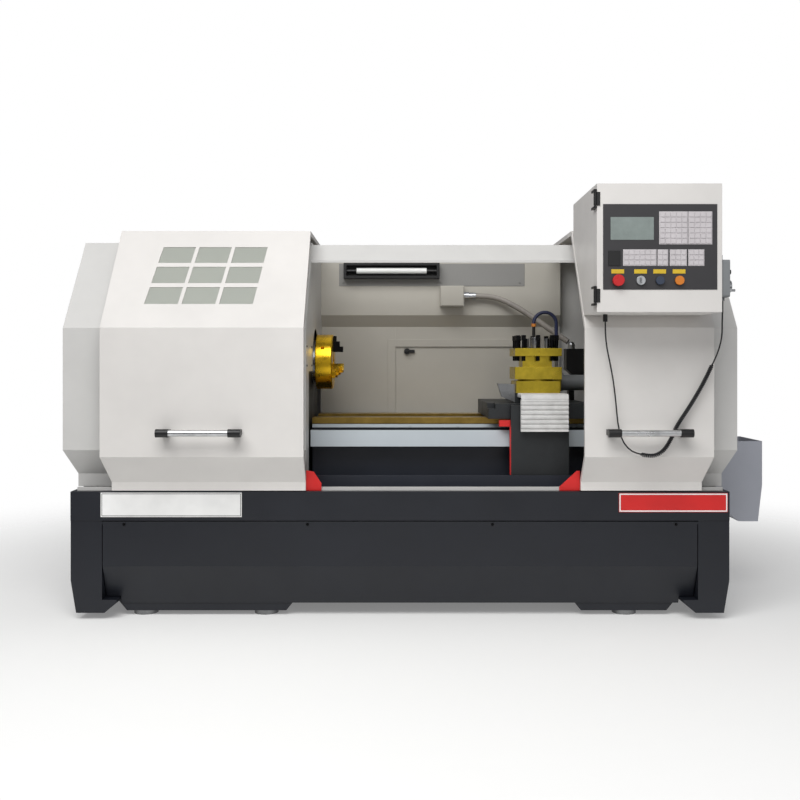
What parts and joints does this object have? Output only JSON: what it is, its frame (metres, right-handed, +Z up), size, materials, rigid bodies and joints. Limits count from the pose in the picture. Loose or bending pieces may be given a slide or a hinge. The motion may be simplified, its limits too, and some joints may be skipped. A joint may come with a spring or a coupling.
{
  "type": "cnc turning lathe",
  "caption": "Flat-bed computer-controlled turning lathe in a sheet-metal enclosure with sliding doors, chuck, indexing tool post, tailstock and a control box on the right door.",
  "frame": {"origin": "middle of the machine's footprint, at floor level", "axes": "+X along the spindle towards the tailstock, +Y away from the operator, +Z up"},
  "size_m": [3.03, 1.694, 1.728],
  "materials": {
    "white_paint": "semi-gloss powder coat",
    "grey_paint": "semi-gloss paint",
    "navy_paint": "semi-gloss textured paint",
    "wall_paint": "semi-gloss paint",
    "dark_cast": "painted casting",
    "way_steel": "ground, oiled",
    "steel": "machined",
    "passivated": "yellow passivated",
    "black_plastic": "fine grain",
    "panel_dark": "printed film",
    "key_grey": "membrane",
    "white_bellows": "coated cloth",
    "frosted_glass": "frosted",
    "blue_plastic": "moulded",
    "orange_plastic": "moulded",
    "red_plastic": "moulded",
    "grey_conduit": "ribbed PVC",
    "black_rubber": "cable sheath",
    "plate_white": "gloss paint"
  },
  "bodies": {
    "machine": {"base_frame": "navy_paint", "base_covers": "navy_paint", "levelling_feet": "steel", "name_plates": "plate_white", "chip_tray": "navy_paint", "left_hood": "white_paint", "right_hood": "white_paint", "door_rails": "white_paint", "back_wall": "wall_paint", "work_lamp": "black_plastic", "junction_box": "wall_paint", "headstock": "dark_cast", "main_motor": "grey_paint", "drive_belt": "black_rubber", "bed": "dark_cast", "bed_ways": "way_steel", "screw_cover": "white_paint", "tail_guard": "grey_paint", "cabinet": "white_paint", "conduit": "grey_conduit"},
    "spindle_body": {"spindle": "steel", "chuck_body": "passivated"},
    "jaw_1": {"chuck_jaw_1": "steel"},
    "jaw_2": {"chuck_jaw_2": "steel"},
    "jaw_3": {"chuck_jaw_3": "steel"},
    "motor_shaft": {"motor_pulley": "steel"},
    "z_screw_body": {"z_screw": "steel"},
    "saddle_body": {"saddle": "dark_cast", "apron": "dark_cast", "connection_box": "dark_cast", "bellows": "white_bellows"},
    "x_screw_body": {"x_screw": "steel"},
    "cross_slide_body": {"cross_slide": "dark_cast", "turret_base": "passivated", "coolant_hose": "blue_plastic"},
    "turret_body": {"turret_head": "passivated", "turret_bolts": "steel"},
    "tailstock_body": {"tailstock": "dark_cast"},
    "quill_body": {"quill": "steel"},
    "tail_wheel": {"tail_handwheel": "steel"},
    "left_door_body": {"left_door": "white_paint", "window_glass": "frosted_glass", "left_door_fittings": "steel"},
    "right_door_body": {"right_door": "white_paint", "right_door_fittings": "steel", "control_box": "white_paint", "pendant": "grey_paint", "pendant_cord": "black_rubber"},
    "lid_body": {"box_lid": "white_paint", "panel_plate": "panel_dark", "keypads": "key_grey"},
    "stop_body": {"stop_button": "red_plastic"},
    "key_body": {"key_switch": "steel"},
    "blue_body": {"blue_button": "blue_plastic"},
    "orange_body": {"orange_button": "orange_plastic"},
    "pendant_wheel_body": {"pendant_wheel": "steel"},
    "pendant_knob_body": {"pendant_knob": "black_plastic"},
    "hatch_body": {"hatch": "wall_paint"},
    "hatch_latch_body": {"hatch_latch": "black_plastic"},
    "cabinet_door_body": {"cabinet_door": "white_paint"}
  },
  "joints": [
    {"name": "left_door_slide", "type": "slide", "parent": "machine", "child": "left_door_body", "axis": [1, 0, 0], "range_m": [0, 0.7]},
    {"name": "right_door_slide", "type": "slide", "parent": "machine", "child": "right_door_body", "axis": [-1, 0, 0], "range_m": [0, 0.42]},
    {"name": "spindle_spin", "type": "hinge", "parent": "machine", "child": "spindle_body", "pos_m": [-0.124, -0.032, 1.056], "axis": [1, 0, 0], "continuous": true},
    {"name": "motor_spin", "type": "hinge", "parent": "machine", "child": "motor_shaft", "pos_m": [-0.124, -0.032, 0.68], "axis": [1, 0, 0], "continuous": true},
    {"name": "jaw_1_slide", "type": "slide", "parent": "spindle_body", "child": "jaw_1", "axis": [0, 0, -1], "range_m": [0, 0.006]},
    {"name": "jaw_2_slide", "type": "slide", "parent": "spindle_body", "child": "jaw_2", "axis": [0, 0.866, 0.5], "range_m": [0, 0.006]},
    {"name": "jaw_3_slide", "type": "slide", "parent": "spindle_body", "child": "jaw_3", "axis": [0, -0.866, 0.5], "range_m": [0, 0.006]},
    {"name": "saddle_slide", "type": "slide", "parent": "machine", "child": "saddle_body", "axis": [-1, 0, 0], "range_m": [-0.04, 0.6], "deforming": ["conduit"]},
    {"name": "z_screw_spin", "type": "hinge", "parent": "machine", "child": "z_screw_body", "pos_m": [-0.124, -0.264, 0.725], "axis": [1, 0, 0], "range_deg": [-43200, 43200]},
    {"name": "cross_slide_travel", "type": "slide", "parent": "saddle_body", "child": "cross_slide_body", "axis": [0, 1, 0], "range_m": [-0.06, 0.07], "deforming": ["bellows"]},
    {"name": "x_screw_spin", "type": "hinge", "parent": "saddle_body", "child": "x_screw_body", "pos_m": [0.4765, -0.032, 0.898], "axis": [0, 1, 0], "range_deg": [-43200, 43200]},
    {"name": "turret_index", "type": "hinge", "parent": "cross_slide_body", "child": "turret_body", "pos_m": [0.4765, -0.1805, 0.98], "axis": [0, 0, 1], "continuous": true},
    {"name": "tailstock_slide", "type": "slide", "parent": "machine", "child": "tailstock_body", "axis": [-1, 0, 0], "range_m": [0, 0.06]},
    {"name": "quill_slide", "type": "slide", "parent": "tailstock_body", "child": "quill_body", "axis": [-1, 0, 0], "range_m": [0, 0.02]},
    {"name": "tail_wheel_spin", "type": "hinge", "parent": "tailstock_body", "child": "tail_wheel", "pos_m": [-0.124, -0.032, 1.056], "axis": [1, 0, 0], "range_deg": [-1800, 1800]},
    {"name": "lid_hinge", "type": "hinge", "parent": "right_door_body", "child": "lid_body", "pos_m": [0.611, -0.824, 1.5], "axis": [0, 0, -1], "range_deg": [0, 90]},
    {"name": "stop_press", "type": "slide", "parent": "lid_body", "child": "stop_body", "axis": [0, 1, 0], "range_m": [0, 0.003], "stiffness_N_per_m": 1200},
    {"name": "blue_press", "type": "slide", "parent": "lid_body", "child": "blue_body", "axis": [0, 1, 0], "range_m": [0, 0.003], "stiffness_N_per_m": 1200},
    {"name": "orange_press", "type": "slide", "parent": "lid_body", "child": "orange_body", "axis": [0, 1, 0], "range_m": [0, 0.003], "stiffness_N_per_m": 1200},
    {"name": "key_turn", "type": "hinge", "parent": "lid_body", "child": "key_body", "pos_m": [0.782, -0.822, 1.362], "axis": [0, 1, 0], "range_deg": [0, 90]},
    {"name": "pendant_wheel_spin", "type": "hinge", "parent": "right_door_body", "child": "pendant_wheel_body", "pos_m": [1.122, -0.777, 1.343], "axis": [1, 0, 0], "continuous": true},
    {"name": "pendant_knob_turn", "type": "hinge", "parent": "right_door_body", "child": "pendant_knob_body", "pos_m": [1.122, -0.777, 1.398], "axis": [1, 0, 0], "range_deg": [-90, 90]},
    {"name": "hatch_hinge", "type": "hinge", "parent": "machine", "child": "hatch_body", "pos_m": [0.176, 0.3295, 0.786], "axis": [-1, 0, 0], "range_deg": [0, 100]},
    {"name": "hatch_latch_turn", "type": "hinge", "parent": "hatch_body", "child": "hatch_latch_body", "pos_m": [-0.089, 0.318, 1.108], "axis": [0, -1, 0], "range_deg": [0, 90]},
    {"name": "cabinet_door_hinge", "type": "hinge", "parent": "machine", "child": "cabinet_door_body", "pos_m": [-1.282, 0.821, 0.9], "axis": [0, 0, 1], "range_deg": [0, 110]}
  ],
  "couplings": [
    {"joint": "motor_spin", "follows": "spindle_spin", "ratio": 1.5},
    {"joint": "jaw_2_slide", "follows": "jaw_1_slide", "ratio": 1},
    {"joint": "jaw_3_slide", "follows": "jaw_1_slide", "ratio": 1},
    {"joint": "z_screw_spin", "follows": "saddle_slide", "rad_per_m": -785.4},
    {"joint": "x_screw_spin", "follows": "cross_slide_travel", "rad_per_m": 1256.6},
    {"joint": "tail_wheel_spin", "follows": "quill_slide", "rad_per_m": 1256.6}
  ]
}
